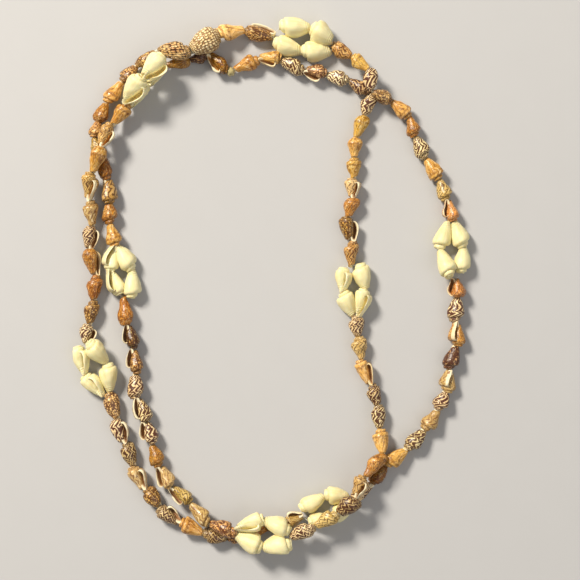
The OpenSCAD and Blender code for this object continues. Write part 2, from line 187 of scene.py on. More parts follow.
# Three places of the left line and three of the right, then the four shells' widths, the turns of
# their mouths, and how much broader they are sideways
rosettes = [
    (
        [(4.5, 123.3, 5.8), (19, 122.6, 6.4), (28.5, 116.2, 7)],
        [(1.5, 115.5, low), (14.5, 111.5, 4.5), (28, 111.5, 4.5)],
        [10.4, 10.8, 9.8, 10.2], [180, 180, 180, 180], [1, 1.08, 1, 1],
    ),
    (
        [(-69.5, 87, 9.2), (-60.5, 97, 15.4), (-51.5, 107, 13.4)],
        [(-69, 86, 3.6), (-60, 96, 4.5), (-52.5, 105, low)],
        [9.6, 9.4, 8.2, 8.2], [12, -2, -70, -70], [1.24, 1.24, 0.9, 0.9],
    ),
    (
        [(-74, -4.5, low), (-78.5, 7, low), (-76.5, 18, 4)],
        [(-67, -6, low), (-67, 7, low), (-74, 18, 4)],
        [9.0, 9.0, 8.6, 9.0], [-40, -42, 180, 180], [1, 1, 1, 1],
    ),
    (
        [(-81, -53, 4), (-89.5, -43.5, low), (-92.5, -30.5, low)],
        [(-78, -51.5, 4), (-79, -38.2, 5.2), (-87, -28.6, 9.6)],
        [8.8, 8.8, 9.2, 9.4], [42, 40, 180, 180], [1, 1, 1, 1],
    ),
    (
        [(8.5, -123.5, 10.8), (-5, -125.5, 10.8), (-17, -119.5, 10.6)],
        [(8, -117, 10.8), (-4, -112.5, 10.8), (-17, -116.5, 10.6)],
        [9.2, 9.4, 9.4, 9.2], [180, 180, 180, -35], [1.14, 1.1, 1, 1],
    ),
    (
        [(38.5, -106, low), (29, -111.5, low), (18.5, -114.5, low)],
        [(37, -102, low), (25.5, -101.5, low), (14.5, -108, low)],
        [8.6, 7.8, 9.0, 8.6], [40, 180, 180, 180], [1, 1, 1, 1],
    ),
    (
        [(42, 9, low), (45, -3, low), (42, -15.5, 4)],
        [(35, 7, low), (34, -4, low), (38.5, -15, 4)],
        [9.0, 9.0, 8.6, 9.0], [180, -38, -48, 180], [1, 1, 1, 1],
    ),
    (
        [(87.5, 30, 4), (92, 18, low), (91, 6, low)],
        [(84.5, 30, 4), (80.5, 17, low), (85, 4.5, 9.6)],
        [9.0, 8.6, 8.8, 9.0], [180, 180, 180, 180], [1, 1, 1, 1],
    ),
]
spireLeads = [1, 3, 5, 7]                # rosettes whose shells lead with their spires
# White shells with a sharper shoulder, and with a wider mouth: rosette, shell
sharpShells = [(3, 3), (5, 2), (5, 4), (7, 2), (7, 4), (8, 1), (8, 3), (8, 4)]
wideShells = [(2, 1), (2, 2), (3, 1), (3, 2), (7, 2)]


def onlyActive(thing):
    bpy.ops.object.select_all(action="DESELECT")
    thing.select_set(True)
    bpy.context.view_layer.objects.active = thing


def startCircle(name, **given):
    # a new ring at its size and place, selected all over in edit mode
    bpy.ops.object.select_all(action="DESELECT")
    bpy.ops.mesh.primitive_circle_add(**given)
    thing = bpy.context.object
    thing.name = thing.data.name = name
    bpy.ops.object.transform_apply(location=True, rotation=True, scale=True)
    bpy.ops.object.mode_set(mode="EDIT")
    bpy.ops.mesh.select_all(action="SELECT")
    return thing


def closeEditing():
    bpy.ops.mesh.select_all(action="SELECT")
    bpy.ops.mesh.normals_make_consistent(inside=False)
    bpy.ops.object.mode_set(mode="OBJECT")


def applyModifiers(thing):
    onlyActive(thing)
    for modifier in list(thing.modifiers):
        bpy.ops.object.modifier_apply(modifier=modifier.name)


def addSmoothing(thing):
    smooth = thing.modifiers.new("smooth", "SUBSURF")
    smooth.levels = smooth.render_levels = 1


def selectWhere(thing, wanted):
    # selects the vertices that the test accepts, in edit mode
    bpy.ops.mesh.select_all(action="DESELECT")
    bm = bmesh.from_edit_mesh(thing.data)
    for vert in bm.verts:
        if wanted(bm, vert):
            vert.select = True
    bm.select_flush(True)
    bmesh.update_edit_mesh(thing.data)


def selectRing(shell, growth, below=None):
    # one ring of the sweep, or the part of it that is lower than a height
    selectWhere(
        shell,
        lambda bm, vert: abs(vert[bm.verts.layers.float["growth"]] - growth) < sweep["sameRing"]
        and (below is None or vert.co.z < below),
    )


def markSelected(thing, **values):
    bm = bmesh.from_edit_mesh(thing.data)
    for layerName, value in values.items():
        layer = bm.verts.layers.float[layerName]
        for vert in bm.verts:
            if vert.select:
                vert[layer] = value


def middleOfSelected(thing):
    places = [v.co.copy() for v in bmesh.from_edit_mesh(thing.data).verts if v.select]
    return sum(places, Vector()) / len(places)


def turnClockwise(degrees):
    # seen from the spire; without a window the operator turns the other way round
    bpy.ops.transform.rotate(
        value=radians(degrees), orient_axis="Z", orient_type="GLOBAL", center_override=(0, 0, 0)
    )


def scaleAbout(centre, factors):
    bpy.ops.transform.resize(value=factors, orient_type="GLOBAL", center_override=centre)


# Shells made as they grow: one section, turned and enlarged step by step about the apex.
# A section's points are (distance from the axis, height) in half widths, narrow end at height 0.
# Apex and widest are heights, the spire is ground down past length, and widen is for one turn.
# Rings of the mouth: scale outwards, scale in height, step forwards, how much it is lip, inside.
# Rings of the throat: scale outwards, scale in height, degrees back into the shell.
ovalPlan = {
    "apex": 3.95, "length": 3.2, "widen": 1.54, "turns": 2.5, "stepsPerTurn": 14, "ribs": 0.012,
    "wall": [
        (0.69, 2.4), (0.84, 2.32), (0.95, 2.14), (1.0, 1.9), (0.985, 1.58),
        (0.9, 1.2), (0.76, 0.8), (0.6, 0.42), (0.46, 0.12), (0.36, 0.0),
    ],
    "pillar": [(0.12, 0.02), (0.06, 0.5), (0.1, 1.1), (0.2, 1.6), (0.36, 1.98), (0.54, 2.26)],
    "widest": 1.9, "canalPull": 0.62, "spireFlat": 0.12, "lipBand": 0.55,
    "mouth": [
        (1.14, 1.03, 0.18, 0.9, 0), (0.95, 0.99, 0.12, 1, 0), (0.74, 0.93, 0.0, 1, 0),
        (0.76, 0.94, -0.14, 0.8, 0.4),
    ],
    "throat": [(0.92, 0.94, 14), (0.85, 0.92, 30)],
}
conePlan = {
    **ovalPlan, "apex": 3.85, "widen": 1.56,
    "wall": [
        (0.66, 2.56), (0.8, 2.53), (0.93, 2.44), (1.0, 2.24), (0.97, 1.88),
        (0.86, 1.42), (0.72, 0.96), (0.58, 0.52), (0.46, 0.16), (0.36, 0.0),
    ],
    "pillar": [(0.12, 0.02), (0.06, 0.5), (0.1, 1.15), (0.2, 1.7), (0.35, 2.12), (0.53, 2.44)],
    "widest": 2.24,
}
roundPlan = {
    **ovalPlan, "apex": 3.75, "widen": 1.58, "length": 3.0, "ribs": 0.03,
    "wall": [
        (0.66, 2.5), (0.82, 2.4), (0.95, 2.16), (1.0, 1.8), (0.97, 1.4),
        (0.88, 1.02), (0.75, 0.68), (0.61, 0.36), (0.5, 0.12), (0.4, 0.0),
    ],
    "pillar": [(0.14, 0.02), (0.07, 0.5), (0.1, 1.1), (0.2, 1.6), (0.35, 2.0), (0.53, 2.34)],
    "widest": 1.8,
}
pearPlan = {
    **ovalPlan, "apex": 3.9, "widen": 1.56, "ribs": 0.02,
    "wall": [
        (0.66, 2.5), (0.82, 2.43), (0.95, 2.27), (1.0, 2.02), (0.97, 1.7),
        (0.86, 1.34), (0.68, 0.94), (0.53, 0.54), (0.46, 0.18), (0.4, 0.0),
    ],
    "pillar": [(0.14, 0.02), (0.06, 0.5), (0.1, 1.1), (0.2, 1.65), (0.35, 2.05), (0.53, 2.36)],
    "widest": 2.02,
}
figPlan = {
    **ovalPlan, "apex": 3.42, "length": 2.86, "ribs": 0.02,
    "wall": [
        (0.58, 2.72), (0.74, 2.55), (0.88, 2.3), (0.97, 2.02), (1.0, 1.72),
        (0.9, 1.3), (0.7, 0.88), (0.53, 0.5), (0.46, 0.16), (0.4, 0.0),
    ],
    "pillar": [(0.14, 0.02), (0.06, 0.5), (0.09, 1.1), (0.15, 1.65), (0.28, 2.15), (0.44, 2.55)],
    "widest": 1.72, "spireFlat": 0.25,
}
whiteConePlan = {
    "apex": 3.6, "length": 3.0, "widen": 1.55, "turns": 2.5, "stepsPerTurn": 20, "ribs": 0.006,
    "wall": [
        (0.64, 2.46), (0.76, 2.44), (0.88, 2.38), (0.96, 2.27), (1.0, 2.11), (0.99, 1.9),
        (0.94, 1.6), (0.85, 1.28), (0.72, 0.95), (0.58, 0.63), (0.46, 0.33), (0.38, 0.1),
        (0.28, 0.0),
    ],
    "pillar": [(0.1, 0.02), (0.05, 0.5), (0.07, 1.1), (0.15, 1.6), (0.3, 2.0), (0.5, 2.3)],
    "widest": 2.18, "canalPull": 0.6, "spireFlat": 0.08, "lipBand": 0.2,
    "mouth": [
        (1.06, 1.02, 0.14, 0.6, 0), (0.96, 0.99, 0.18, 1, 0), (0.76, 0.93, 0.04, 1, 0),
        (0.66, 0.9, -0.12, 0.9, 0.25), (0.76, 0.95, -0.2, 0.5, 0.8),
    ],
    "throat": [(0.9, 0.93, 16), (0.8, 0.9, 30)],
}
whiteRoundPlan = {
    **whiteConePlan, "ribs": 0.01,
    "wall": [
        (0.64, 2.46), (0.75, 2.43), (0.86, 2.34), (0.95, 2.2), (1.0, 2.0), (0.995, 1.76),
        (0.95, 1.46), (0.86, 1.14), (0.74, 0.84), (0.61, 0.56), (0.48, 0.3), (0.38, 0.08),
        (0.28, 0.0),
    ],
    "widest": 2.0,
    "mouth": [
        (1.1, 1.03, 0.16, 0.6, 0), (0.96, 0.99, 0.18, 1, 0), (0.76, 0.93, 0.04, 1, 0),
        (0.66, 0.9, -0.12, 0.9, 0.25), (0.76, 0.95, -0.2, 0.5, 0.8),
    ],
}
wideMouth = [
    (1.12, 1.03, 0.18, 0.6, 0), (1.04, 1.0, 0.2, 1, 0), (0.88, 0.96, 0.04, 1, 0),
    (0.8, 0.93, -0.16, 0.9, 0.3), (0.88, 0.97, -0.24, 0.5, 0.8),
]
plans = {
    "oval": ovalPlan, "cone": conePlan, "round": roundPlan, "pear": pearPlan, "fig": figPlan,
    "whiteCone": whiteConePlan, "whiteRound": whiteRoundPlan,
    "whiteConeWide": {**whiteConePlan, "mouth": wideMouth},
    "whiteRoundWide": {**whiteRoundPlan, "mouth": wideMouth},
}
sweep = {
    "sameRing": 0.01,        # growth, in turns, within which vertices are of one ring
    "mouthStep": 0.1,        # growth from one ring of the mouth or throat to the next
    "fadeSteps": 4,          # steps over which the pull of the narrow end comes in
    "ribWaves": [(1, 2.6, 0), (0.6, 1.1, 2)],       # height, rate and start
}
smoothAngle = radians(60)
vertexValues = ("across", "growth", "lip", "inside")
# Shares of the flat map, how far the growth is crowded to its start, the reach across by which a
# face is known to close the ring, and the margin round each shell of a run
mapPlan = {"wall": 0.72, "pillar": 0.28, "crowding": 1.7, "closing": 0.9, "margin": 0.02}


def growShell(name, plan):
    section = plan["wall"] + plan["pillar"]
    apex = (0, 0, plan["apex"])
    steps = round(plan["turns"] * plan["stepsPerTurn"])
    stepScale = plan["widen"] ** (1 / plan["stepsPerTurn"])
    stepAngle = 360 / plan["stepsPerTurn"]
    shell = startCircle(name, vertices=len(section), radius=1, fill_type="NOTHING")
    bm = bmesh.from_edit_mesh(shell.data)
    for layerName in vertexValues:
        bm.verts.layers.float.new(layerName)
    across = bm.verts.layers.float["across"]
    for place, (vert, (out, height)) in enumerate(zip(bm.verts, section)):
        vert.co = (0, out, height)
        wallShare = place / (len(plan["wall"]) - 1)
        pillarShare = (place + 1 - len(plan["wall"])) / (len(plan["pillar"]) + 1)
        vert[across] = wallShare if wallShare <= 1 else 1 + pillarShare
    bmesh.update_edit_mesh(shell.data)
    # the sweep, from a small ring near the apex to the full mouth
    scaleAbout(apex, (stepScale ** -steps,) * 3)
    turnClockwise(-stepAngle * steps)
    for step in range(1, steps + 1):
        bpy.ops.mesh.extrude_edges_move()
        turnClockwise(stepAngle)
        scaleAbout(apex, (stepScale,) * 3)
        markSelected(
            shell, growth=step / plan["stepsPerTurn"], lip=plan["lipBand"] if step == steps else 0
        )
    swellRings(shell, plan, steps)
    makeMouth(shell, plan)
    # the small end is closed
    selectRing(shell, 0)
    bpy.ops.mesh.edge_face_add()
    drawCanalDown(shell, plan, steps, stepScale)
    # the tip of the spire is ground nearly flat, where the thread comes out
    selectWhere(shell, lambda bm, vert: vert.co.z > plan["length"])
    scaleAbout((0, 0, plan["length"]), (1, 1, plan["spireFlat"]))
    closeEditing()
    layOutMap(shell, plan)
    addSmoothing(shell)
    applyModifiers(shell)
    bpy.ops.object.shade_smooth_by_angle(angle=smoothAngle)
    fitToUnit(shell, plan)
    print(name, len(shell.data.polygons), "faces")
    return shell


def swellRings(shell, plan, steps):
    # low ribs where the growth paused
    for step in range(1, steps):
        rib = sum(height * sin(step * rate + start) for height, rate, start in sweep["ribWaves"])
        swell = 1 + plan["ribs"] * rib
        selectRing(shell, step / plan["stepsPerTurn"])
        scaleAbout((0, 0, plan["widest"]), (swell, swell, 1))
    # the last ring is left selected, for the mouth to grow from
    selectRing(shell, steps / plan["stepsPerTurn"])


def makeMouth(shell, plan):
    growth = plan["turns"]
    for outwards, inHeight, forwards, lip, inside in plan["mouth"]:
        growth += sweep["mouthStep"]
        bpy.ops.mesh.extrude_edges_move()
        scaleAbout(middleOfSelected(shell), (1, outwards, inHeight))
        bpy.ops.transform.translate(value=(forwards, 0, 0))
        markSelected(shell, growth=growth, lip=lip, inside=inside)
    for outwards, inHeight, back in plan["throat"]:
        growth += sweep["mouthStep"]
        bpy.ops.mesh.extrude_edges_move()
        turnClockwise(-back)
        scaleAbout((0, 0, plan["apex"]), (plan["widen"] ** (-back / 360),) * 3)
        scaleAbout(middleOfSelected(shell), (outwards, outwards, inHeight))
        markSelected(shell, growth=growth, lip=0, inside=1)
    bpy.ops.mesh.edge_face_add()


def drawCanalDown(shell, plan, steps, stepScale):
    # the narrow end of each ring of the last turn comes down to the tip of the mouth
    first = steps - plan["stepsPerTurn"] - sweep["fadeSteps"]
    for step in range(first + 1, steps):
        ringScale = stepScale ** (step - steps)
        widest = plan["apex"] - (plan["apex"] - plan["widest"]) * ringScale
        tip = plan["apex"] * (1 - ringScale)
        fade = min(1, (step - first) / sweep["fadeSteps"])
        stretch = 1 + fade * plan["canalPull"] * tip / (widest - tip)
        selectRing(shell, step / plan["stepsPerTurn"], below=widest)
        scaleAbout((0, 0, widest), (1, 1, stretch))


def layOutMap(shell, plan):
    # a flat map of the shell: along the growth one way, across the whorl the other
    bakeMap = shell.data.uv_layers.new(name="OFBake")
    growth = [value.value for value in shell.data.attributes["growth"].data]
    across = [value.value for value in shell.data.attributes["across"].data]
    mouthRings = len(plan["mouth"]) + len(plan["throat"])
    mouthEnd = plan["turns"] + sweep["mouthStep"] * mouthRings
    for face in shell.data.polygons:
        reach = [across[vert] for vert in face.vertices]
        closes = max(reach) - min(reach) > mapPlan["closing"]
        for loop in face.loop_indices:
            vert = shell.data.loops[loop].vertex_index
            place = 2 if closes and across[vert] == 0 else across[vert]
            high = place * mapPlan["wall"]
            if place > 1:
                high = mapPlan["wall"] + (place - 1) * mapPlan["pillar"]
            bakeMap.data[loop].uv = ((growth[vert] / mouthEnd) ** mapPlan["crowding"], high)


def fitToUnit(shell, plan):
    # one wide each way from the axis, and one long
    verts = shell.data.vertices
    ends = [(min(v.co[i] for v in verts), max(v.co[i] for v in verts)) for i in (0, 1)]
    middle = [(first + last) / 2 for first, last in ends]
    half = [(last - first) / 2 for first, last in ends]
    move = Matrix.Translation((-middle[0], -middle[1], 0))
    size = Matrix.Diagonal((1 / half[0], 1 / half[1], 1 / plan["length"], 1))
    shell.data.transform(size @ move)


# Short ways to add nodes. A value is a number or the socket of another node.
def calc(tree, operation, *values):
    node = tree.nodes.new("ShaderNodeMath")
    node.operation = operation
    for socket, value in zip(node.inputs, values):
        plug(tree, socket, value)
    return node.outputs[0]


def plug(tree, socket, value):
    if isinstance(value, bpy.types.NodeSocket):
        tree.links.new(value, socket)
    else:
        socket.default_value = value


def times(tree, first, second):
    return calc(tree, "MULTIPLY", first, second)


def timesPlus(tree, first, second, third):
    return calc(tree, "MULTIPLY_ADD", first, second, third)


def minus(tree, first, second):
    return calc(tree, "SUBTRACT", first, second)


def mixColours(tree, share, first, second):
    node = tree.nodes.new("ShaderNodeMix")
    node.data_type = "RGBA"
    node.clamp_factor = True
    plug(tree, node.inputs["Factor"], share)
    plug(tree, node.inputs["A"], withAlpha(first))
    plug(tree, node.inputs["B"], withAlpha(second))
    return node.outputs["Result"]


def withAlpha(colour):
    return colour if isinstance(colour, bpy.types.NodeSocket) else (*colour, 1)


def paint(tree, colour, share, strength, over):
    return mixColours(tree, times(tree, share, strength), colour, over)


def smoothBetween(tree, value, start, end):
    node = tree.nodes.new("ShaderNodeMapRange")
    node.interpolation_type = "SMOOTHSTEP"
    for name, given in (("Value", value), ("From Min", start), ("From Max", end)):
        plug(tree, node.inputs[name], given)
    return node.outputs["Result"]


def shellValues(tree, *names):
    # what the shell's vertices carry, and what was given to each shell of a piece
    found = {}
    for name in names:
        node = tree.nodes.new("ShaderNodeAttribute")
        node.attribute_name = name
        found[name] = node.outputs["Fac"]
    return found


def plane(tree, *values):
    node = tree.nodes.new("ShaderNodeCombineXYZ")
    for socket, value in zip(node.inputs, values):
        plug(tree, socket, value)
    return node.outputs[0]


def unrolled(tree, at):
    # a turn is about twice as long as the whorl is broad; the seed gives each shell its own noise
    return plane(tree, times(tree, at["growth"], 2), at["across"], at["seed"])


def noise(tree, vector, scale, detail=2, roughness=0.5):
    node = tree.nodes.new("ShaderNodeTexNoise")
    plug(tree, node.inputs["Vector"], vector)
    for name, value in (("Scale", scale), ("Detail", detail), ("Roughness", roughness)):
        node.inputs[name].default_value = value
    return node.outputs["Fac"]


def cells(tree, vector, feature, randomness):
    node = tree.nodes.new("ShaderNodeTexVoronoi")
    node.voronoi_dimensions = "2D"
    node.feature = feature
    plug(tree, node.inputs["Vector"], vector)
    node.inputs["Scale"].default_value = 1
    node.inputs["Randomness"].default_value = randomness
    return node.outputs["Distance"]


def addBump(tree, surface, height, look):
    bump = tree.nodes.new("ShaderNodeBump")
    bump.inputs["Strength"].default_value = look["bump"]
    bump.inputs["Distance"].default_value = look["bumpDepth"] * mm
    tree.links.new(height, bump.inputs["Height"])
    tree.links.new(bump.outputs[0], surface.inputs["Normal"])


def newMaterial(name, viewColour):
    material = bpy.data.materials.new(name)
    material.use_nodes = True
    material.diffuse_color = (*viewColour, 1)
    return material, material.node_tree, material.node_tree.nodes["Principled BSDF"]


# Finishes of the brown shells. shapes: taken in turn along the loop. ground: its light and its
# dark colour. line: colour of the marks. pale: colour of the light streaks, and streaks: strength.
# bands: (place across the whorl, half width, strength). flecks: pale, (size, share, strength).
# zigzag: lines in one turn, zigs across, swing, share that is dark, strength.
# net: cells in one turn, cells across, share that is dark, strength.
# dots: grains in one turn, grains across, half width, relief in millimetres.
creamWhite = (0.92, 0.8, 0.52)
finishes = {
    "boldZigzag": {
        "shapes": ("oval", "round"), "ground": ((0.92, 0.76, 0.42), (0.84, 0.6, 0.27)),
        "line": (0.085, 0.024, 0.01), "zigzag": (8, 3.4, 1.0, 0.66, 0.98), "streaks": 0.2,
    },
    "orangeZigzag": {
        "shapes": ("oval", "pear"), "ground": ((0.72, 0.45, 0.13), (0.46, 0.19, 0.03)),
        "line": (0.1, 0.028, 0.006), "bands": [(0.5, 0.1, 0.3)], "flecks": (2.2, 0.56, 0.6),
        "zigzag": (11, 5, 0.8, 0.42, 0.9), "streaks": 0.5, "throat": (0.5, 0.24, 0.05),
    },
    "creamZigzag": {
        "shapes": ("pear", "cone"), "ground": ((0.76, 0.54, 0.21), (0.5, 0.29, 0.05)),
        "line": (0.09, 0.036, 0.01), "zigzag": (9, 4, 0.9, 0.36, 0.85), "pale": creamWhite,
        "streaks": 0.5,
    },
    "fineZigzag": {
        "shapes": ("round", "oval"), "ground": ((0.9, 0.72, 0.38), (0.7, 0.48, 0.2)),
        "line": (0.075, 0.022, 0.01), "zigzag": (11, 5, 0.9, 0.62, 0.97), "streaks": 0.3,
    },
    "golden": {
        "shapes": ("fig", "cone", "fig", "pear"),
        "ground": ((0.77, 0.48, 0.1), (0.48, 0.21, 0.015)), "line": (0.15, 0.045, 0.007),
        "bands": [(0.12, 0.05, 0.5), (0.42, 0.06, 0.5)], "flecks": (2.4, 0.56, 0.75),
        "zigzag": (11, 2.5, 0.8, 0.24, 0.6), "streaks": 0.8, "pale": (0.92, 0.74, 0.38),
        "lip": (0.86, 0.7, 0.4),
    },
    "orangeBrown": {
        "shapes": ("oval", "fig", "round", "pear"),
        "ground": ((0.68, 0.3, 0.024), (0.38, 0.12, 0.007)), "line": (0.09, 0.024, 0.005),
        "bands": [(0.3, 0.08, 0.45)], "flecks": (4.2, 0.56, 0.6),
        "zigzag": (13, 4, 0.7, 0.3, 0.55), "net": (16, 11, 0.17, 0.6), "streaks": 0.7,
        "lip": (0.84, 0.68, 0.42),
    },
    "brownNet": {
        "shapes": ("round", "oval"), "ground": ((0.88, 0.55, 0.18), (0.64, 0.28, 0.045)),
        "line": (0.09, 0.026, 0.006), "flecks": (3, 0.57, 0.7), "net": (17, 11, 0.27, 0.96),
        "streaks": 0.5,
    },
    "darkNet": {
        "shapes": ("oval", "round"), "ground": ((0.76, 0.46, 0.17), (0.46, 0.17, 0.03)),
        "line": (0.06, 0.017, 0.006), "flecks": (3, 0.6, 0.7), "net": (12, 7.5, 0.41, 0.97),
        "streaks": 0.3,
    },
    "granular": {
        "shapes": ("round",), "ground": ((0.88, 0.7, 0.38), (0.56, 0.28, 0.05)),
        "line": (0.27, 0.13, 0.04), "dots": (24, 10, 0.28, 1.4), "flecks": (2.2, 0.5, 0.3),
    },
    "brownGranular": {
        "shapes": ("round",), "ground": ((0.7, 0.45, 0.15), (0.4, 0.14, 0.018)),
        "line": (0.07, 0.022, 0.006), "dots": (24, 10, 0.3, 1.2), "flecks": (2.4, 0.5, 0.7),
    },
    "cream": {
        "shapes": ("cone", "pear"), "ground": ((0.6, 0.42, 0.15), (0.36, 0.2, 0.04)),
        "line": (0.2, 0.08, 0.022), "bands": [(0.15, 0.05, 0.35)],
        "zigzag": (10, 4, 0.8, 0.36, 0.85), "pale": creamWhite, "streaks": 0.6,
    },
}
# What all the brown finishes share
brown = {
    "fleckColour": (0.86, 0.62, 0.26), "lipColour": (0.88, 0.77, 0.52),
    # the throat's own brown, darkened further with painted shade
    "throatBrownAndShade": (0.32, 0.16, 0.065),
    # broad changes of the ground, and (span, smallest) for each shell's own scale of pattern
    "driftScale": 3.2, "blotchScale": 5.5, "ownSeed": 1.7, "ownSize": (0.4, 0.8),
    "shadeDrift": 1.8, "shadeTone": (-0.6, 0.5),
    # growth streaks, and where each kind starts and ends in the noise, with its strength
    "streaksPerTurn": 9, "streaksAcross": 2.2, "streakDrift": 3, "streakScale": 1.3,
    "darkStreaks": (0.47, 0.34, 0.7), "paleStreaks": (0.54, 0.68, 0.8),
    # how far drift, blotches and tone move the marks, and how soft the marks' edges are
    "bandDrift": 0.1, "bandCore": 0.4, "zigDrift": 1.4, "lineDrift": 2.2, "zigBlotch": 1.3,
    "zigTone": -0.16, "zigEdge": 0.11, "netPush": 4, "netBlotch": 0.7, "netEdge": 0.08,
    "dotPush": 1, "dotScatter": 0.45, "dotRim": (0.8, 2), "reliefPerMm": 10, "gridSeed": 9,
    "flecksPerTurn": 5, "fleckScale": 3, "fleckEdge": 0.08,
    # (times, plus) of the tone, and of the shell's own size for the hue
    "value": (0.3, 1), "saturation": (-0.08, 1), "hue": (0.045, 0.452),
    # the pale lip: where the pillar starts, what makes its edge ragged, and where the edge lies
    "pillar": (1.0, 1.2), "lipSize": 1.2, "lipBlotch": 1.1, "lipEdge": (0.45, 0.72),
    # relief, worn gloss as (times, plus), and growth lines and cords
    "dentScale": 4, "dents": 2.4, "wearScale": 9, "roughness": (0.36, 0.12),
    "linesPerTurn": 60, "linesAcross": 3, "cordRate": 110, "cordHeight": 0.15,
    "bump": 0.8, "bumpDepth": 0.1,
}


def brownMaterial(name, finish):
    light, dark = finish["ground"]
    material, tree, surface = newMaterial(name, light)
    at = shellValues(tree, "growth", "across", "seed", "tone", "lip", "inside")
    shellPlane = unrolled(tree, at)
    drift = noise(tree, shellPlane, brown["driftScale"], detail=3)
    blotch = noise(tree, shellPlane, brown["blotchScale"], detail=3, roughness=0.6)
    at["drift"], at["blotch"] = minus(tree, drift, 0.5), minus(tree, blotch, 0.5)
    # each shell has its own scale of pattern, four fifths to six fifths
    own = calc(tree, "FRACT", times(tree, at["seed"], brown["ownSeed"]))
    at["size"] = timesPlus(tree, own, *brown["ownSize"])
    shade = timesPlus(tree, at["tone"], *brown["shadeTone"])
    shade = timesPlus(tree, at["drift"], brown["shadeDrift"], shade)
    colour = mixColours(tree, shade, light, dark)
    colour = drawStreaks(tree, finish, at, colour)
    colour = drawBands(tree, finish, at, colour)
    dents = noise(tree, shellPlane, brown["dentScale"])
    relief = times(tree, dents, brown["dents"])
    if "zigzag" in finish:
        colour = drawZigzag(tree, finish, at, colour)
    if "net" in finish:
        colour = drawNet(tree, finish, at, colour)
    if "dots" in finish:
        grain, height = findGrains(tree, finish, at)
        colour = mixColours(tree, grain, finish["line"], colour)
        relief = timesPlus(tree, grain, height, relief)
    if "flecks" in finish:
        colour = drawFlecks(tree, finish, at, colour)
    colour = drawMouth(tree, finish, at, tintShell(tree, at, colour))
    tree.links.new(colour, surface.inputs["Base Color"])
    # fine growth lines along the whorl and cords round it, on broader dents, and a worn gloss
    along = times(tree, at["growth"], brown["linesPerTurn"])
    lines = plane(tree, along, times(tree, at["across"], brown["linesAcross"]), 0)
    cords = calc(tree, "SINE", times(tree, at["across"], brown["cordRate"]))
    fine = timesPlus(tree, cords, brown["cordHeight"], noise(tree, lines, 1))
    addBump(tree, surface, calc(tree, "ADD", fine, relief), brown)
    wear = noise(tree, shellPlane, brown["wearScale"], detail=3)
    plug(tree, surface.inputs["Roughness"], timesPlus(tree, wear, *brown["roughness"]))
    return material


def drawStreaks(tree, finish, at, colour):
    # light and dark streaks along the lip's line, left where the shell paused in growing
    drift = times(tree, at["drift"], brown["streakDrift"])
    along = timesPlus(tree, at["growth"], brown["streaksPerTurn"], drift)
    across = times(tree, at["across"], brown["streaksAcross"])
    place = plane(tree, along, across, at["seed"])
    streaks = noise(tree, place, brown["streakScale"], detail=3, roughness=0.65)
    pale = finish.get("pale", brown["fleckColour"])
    for key, over in (("darkStreaks", finish["line"]), ("paleStreaks", pale)):
        start, end, strength = brown[key]
        share = smoothBetween(tree, streaks, start, end)
        colour = paint(tree, colour, share, finish.get("streaks", 0) * strength, over)
    return colour


def drawBands(tree, finish, at, colour):
    for place, halfWidth, strength in finish.get("bands", ()):
        middle = timesPlus(tree, at["drift"], brown["bandDrift"], place)
        offset = calc(tree, "ABSOLUTE", minus(tree, at["across"], middle))
        outside = smoothBetween(tree, offset, halfWidth * brown["bandCore"], halfWidth)
        colour = paint(tree, colour, minus(tree, 1, outside), strength, finish["line"])
    return colour


def drawZigzag(tree, finish, at, colour):
    lines, zigs, swing, darkShare, strength = finish["zigzag"]
    zig = timesPlus(tree, at["across"], zigs, times(tree, at["drift"], brown["zigDrift"]))
    zig = calc(tree, "PINGPONG", times(tree, zig, at["size"]), 0.5)
    zig = times(tree, zig, 2 * swing)
    phase = timesPlus(tree, times(tree, at["growth"], at["size"]), lines, zig)
    drift = timesPlus(tree, at["drift"], brown["lineDrift"], at["seed"])
    stripe = calc(tree, "PINGPONG", calc(tree, "ADD", phase, drift), 0.5)
    edge = timesPlus(tree, at["tone"], brown["zigTone"], darkShare)
    edge = timesPlus(tree, at["blotch"], brown["zigBlotch"], edge)
    depth = minus(tree, edge, times(tree, stripe, 2))
    mark = smoothBetween(tree, depth, -brown["zigEdge"], brown["zigEdge"])
    return paint(tree, colour, mark, strength, finish["line"])


def drawNet(tree, finish, at, colour):
    around, rows, darkShare, strength = finish["net"]
    grid = patternGrid(tree, at, around, rows, brown["netPush"])
    reach = cells(tree, grid, "DISTANCE_TO_EDGE", randomness=1)
    edge = timesPlus(tree, at["blotch"], brown["netBlotch"], darkShare)
    depth = minus(tree, edge, reach)
    mark = smoothBetween(tree, depth, -brown["netEdge"], brown["netEdge"])
    return paint(tree, colour, mark, strength, finish["line"])


def findGrains(tree, finish, at):
    around, rows, halfWidth, height = finish["dots"]
    grid = patternGrid(tree, at, around, rows, brown["dotPush"])
    reach = cells(tree, grid, "F1", brown["dotScatter"])
    core, rim = (halfWidth * share for share in brown["dotRim"])
    grain = minus(tree, 1, smoothBetween(tree, reach, core, rim))
    return grain, height * brown["reliefPerMm"]


def patternGrid(tree, at, around, rows, push):
    # cells laid out on the whorl, pushed about so that they don't stand in rows
    movedAlong = times(tree, at["drift"], push)
    seeded = times(tree, at["seed"], brown["gridSeed"])
    movedAcross = timesPlus(tree, at["blotch"], push, seeded)
    return plane(
        tree,
        timesPlus(tree, times(tree, at["growth"], at["size"]), around, movedAlong),
        timesPlus(tree, times(tree, at["across"], at["size"]), rows, movedAcross),
        0,
    )


def drawFlecks(tree, finish, at, colour):
    size, share, strength = finish["flecks"]
    along = times(tree, at["growth"], brown["flecksPerTurn"])
    place = plane(tree, along, at["across"], at["seed"])
    speckle = noise(tree, place, size * brown["fleckScale"], detail=3, roughness=0.6)
    fleck = smoothBetween(tree, speckle, share, share + brown["fleckEdge"])
    return paint(tree, colour, fleck, strength, brown["fleckColour"])


